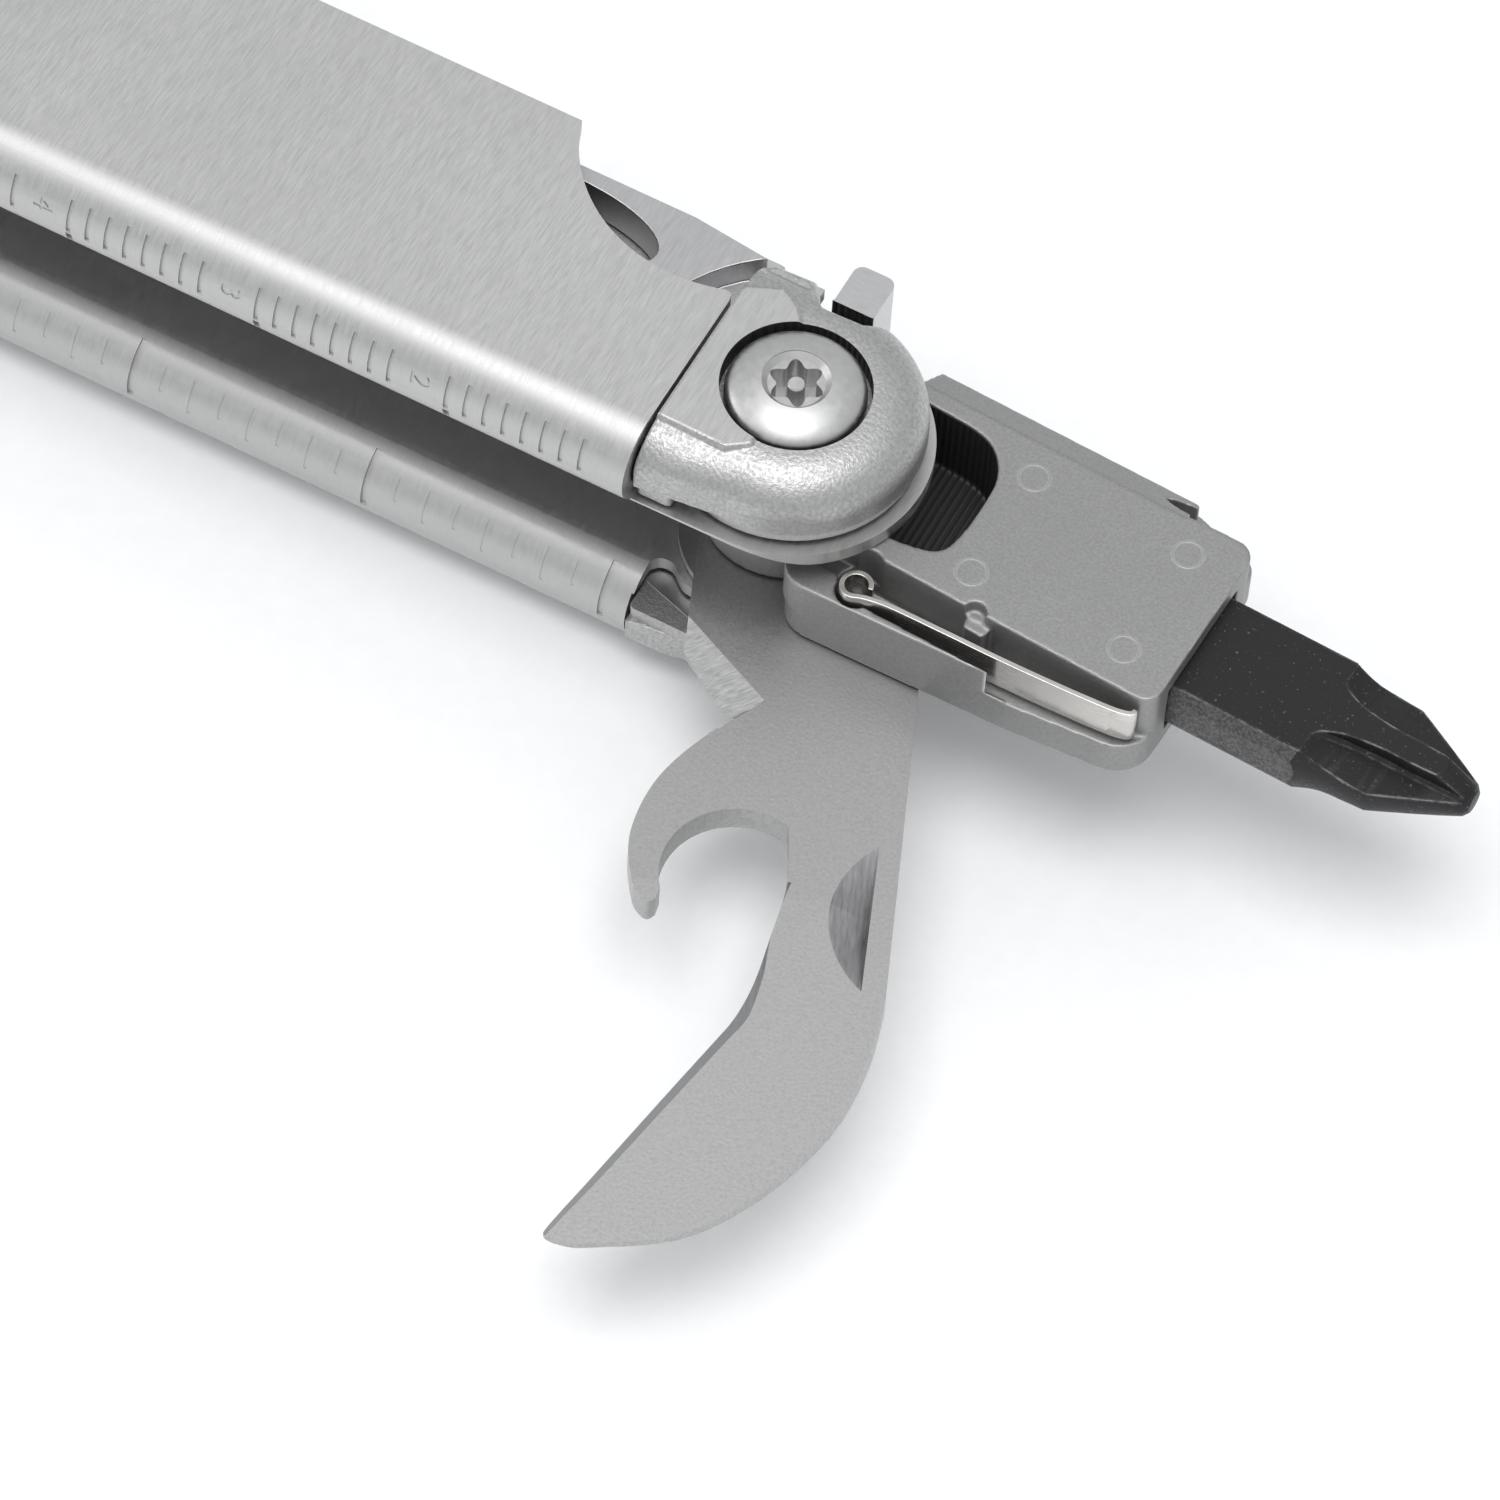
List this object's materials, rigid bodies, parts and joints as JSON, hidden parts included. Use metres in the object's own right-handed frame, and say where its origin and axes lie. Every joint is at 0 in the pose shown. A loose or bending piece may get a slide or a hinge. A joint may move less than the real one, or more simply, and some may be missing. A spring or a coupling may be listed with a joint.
{
  "type": "pocket multi tool",
  "caption": "Folding steel pocket tool: needle-nose pliers between two sheet handles holding a knife, serrated blade, saw, file, openers, screwdrivers and a bit driver.",
  "frame": {"origin": "on the outer face of the first handle's lower cover, on its centre line, 45 mm behind the tool pivot", "axes": "+Z along the tool pivot and plier pins, +X out of the first handle's tool end, +Y towards the second handle"},
  "size_m": [0.1685, 0.1369, 0.018],
  "materials": {
    "steel": "brushed stainless sheet, grain across the handle",
    "cast": "bead-blasted stainless casting",
    "polished": "smooth satin steel",
    "blade": "satin ground stainless",
    "driver": "matte grey investment casting",
    "oxide": "black oxide, speckled and worn at the edges"
  },
  "bodies": {
    "handle_a": {"handle_a_shell": "steel", "handle_a_bolster_top": "cast", "handle_a_bolster_bottom": "cast", "tool_post_a": "polished", "tool_screw_a_top": "polished", "tool_screw_a_bottom": "polished", "tool_washer_a": "polished", "plier_pin_a": "polished", "lock_pin_a": "polished"},
    "lock_lever_a": {"lock_lever_a": "polished"},
    "jaw_a": {"jaw_a": "blade", "jaw_pivot_pin": "polished"},
    "jaw_b": {"jaw_b": "blade"},
    "handle_b": {"handle_b_shell": "steel", "handle_b_bolster_top": "cast", "handle_b_bolster_bottom": "cast", "tool_post_b": "polished", "tool_screw_b_top": "polished", "tool_screw_b_bottom": "polished", "tool_washer_b": "polished", "plier_pin_b": "polished", "lock_pin_b": "polished"},
    "lock_lever_b": {"lock_lever_b": "polished"},
    "plain_knife": {"plain_knife": "blade"},
    "wood_saw": {"wood_saw": "blade"},
    "serrated_knife": {"serrated_knife": "blade"},
    "metal_file": {"metal_file": "blade"},
    "bit_driver": {"bit_driver": "driver", "bit_retention_spring": "polished"},
    "phillips_bit": {"phillips_bit": "oxide"},
    "can_opener": {"can_opener": "blade"},
    "medium_screwdriver": {"medium_screwdriver": "blade"},
    "small_screwdriver": {"small_screwdriver": "blade"},
    "small_bit_driver": {"small_bit_driver": "driver"},
    "small_bit": {"small_bit": "oxide"}
  },
  "joints": [
    {"name": "handle_a_fold", "type": "hinge", "parent": "handle_a", "child": "jaw_a", "pos_m": [-0.042, 0, 0.0086], "axis": [0, 0, 1], "range_deg": [0, 174]},
    {"name": "jaw_pivot", "type": "hinge", "parent": "jaw_a", "child": "jaw_b", "pos_m": [-0.05326, 0.00666, 0.0086], "axis": [0, 0, -1], "range_deg": [-50, 0]},
    {"name": "handle_b_fold", "type": "hinge", "parent": "jaw_b", "child": "handle_b", "pos_m": [-0.04363, 0.01551, 0.0086], "axis": [0, 0, 1], "range_deg": [-48, 126]},
    {"name": "plain_knife_pivot", "type": "hinge", "parent": "handle_a", "child": "plain_knife", "pos_m": [0.045, 0, 0.0086], "axis": [0, 0, -1], "range_deg": [0, 180]},
    {"name": "wood_saw_pivot", "type": "hinge", "parent": "handle_a", "child": "wood_saw", "pos_m": [0.045, 0, 0.0086], "axis": [0, 0, -1], "range_deg": [0, 180]},
    {"name": "bit_driver_pivot", "type": "hinge", "parent": "handle_a", "child": "bit_driver", "pos_m": [0.045, 0, 0.0086], "axis": [0, 0, 1], "range_deg": [-180, 0]},
    {"name": "can_opener_pivot", "type": "hinge", "parent": "handle_a", "child": "can_opener", "pos_m": [0.045, 0, 0.0086], "axis": [0, 0, 1], "range_deg": [-112, 68]},
    {"name": "lock_lever_a_rock", "type": "hinge", "parent": "handle_a", "child": "lock_lever_a", "pos_m": [0.029, 0.0073, 0.0086], "axis": [0, 0, 1], "range_deg": [0, 3]},
    {"name": "serrated_knife_pivot", "type": "hinge", "parent": "handle_b", "child": "serrated_knife", "pos_m": [-0.00013, 0.09086, 0.0086], "axis": [0, 0, 1], "range_deg": [0, 180]},
    {"name": "metal_file_pivot", "type": "hinge", "parent": "handle_b", "child": "metal_file", "pos_m": [-0.00013, 0.09086, 0.0086], "axis": [0, 0, 1], "range_deg": [0, 180]},
    {"name": "medium_screwdriver_pivot", "type": "hinge", "parent": "handle_b", "child": "medium_screwdriver", "pos_m": [-0.00013, 0.09086, 0.0086], "axis": [0, 0, -1], "range_deg": [0, 180]},
    {"name": "small_screwdriver_pivot", "type": "hinge", "parent": "handle_b", "child": "small_screwdriver", "pos_m": [-0.00013, 0.09086, 0.0086], "axis": [0, 0, -1], "range_deg": [0, 180]},
    {"name": "small_bit_driver_pivot", "type": "hinge", "parent": "handle_b", "child": "small_bit_driver", "pos_m": [-0.00013, 0.09086, 0.0086], "axis": [0, 0, -1], "range_deg": [0, 180]},
    {"name": "lock_lever_b_rock", "type": "hinge", "parent": "handle_b", "child": "lock_lever_b", "pos_m": [-0.00181, 0.07335, 0.0086], "axis": [0, 0, -1], "range_deg": [0, 3]},
    {"name": "phillips_bit_slide", "type": "slide", "parent": "bit_driver", "child": "phillips_bit", "axis": [0.9988, -0.0497, 0], "range_m": [0, 0.018]},
    {"name": "small_bit_slide", "type": "slide", "parent": "small_bit_driver", "child": "small_bit", "axis": [-0.5, -0.866, 0], "range_m": [0, 0.012]}
  ]
}
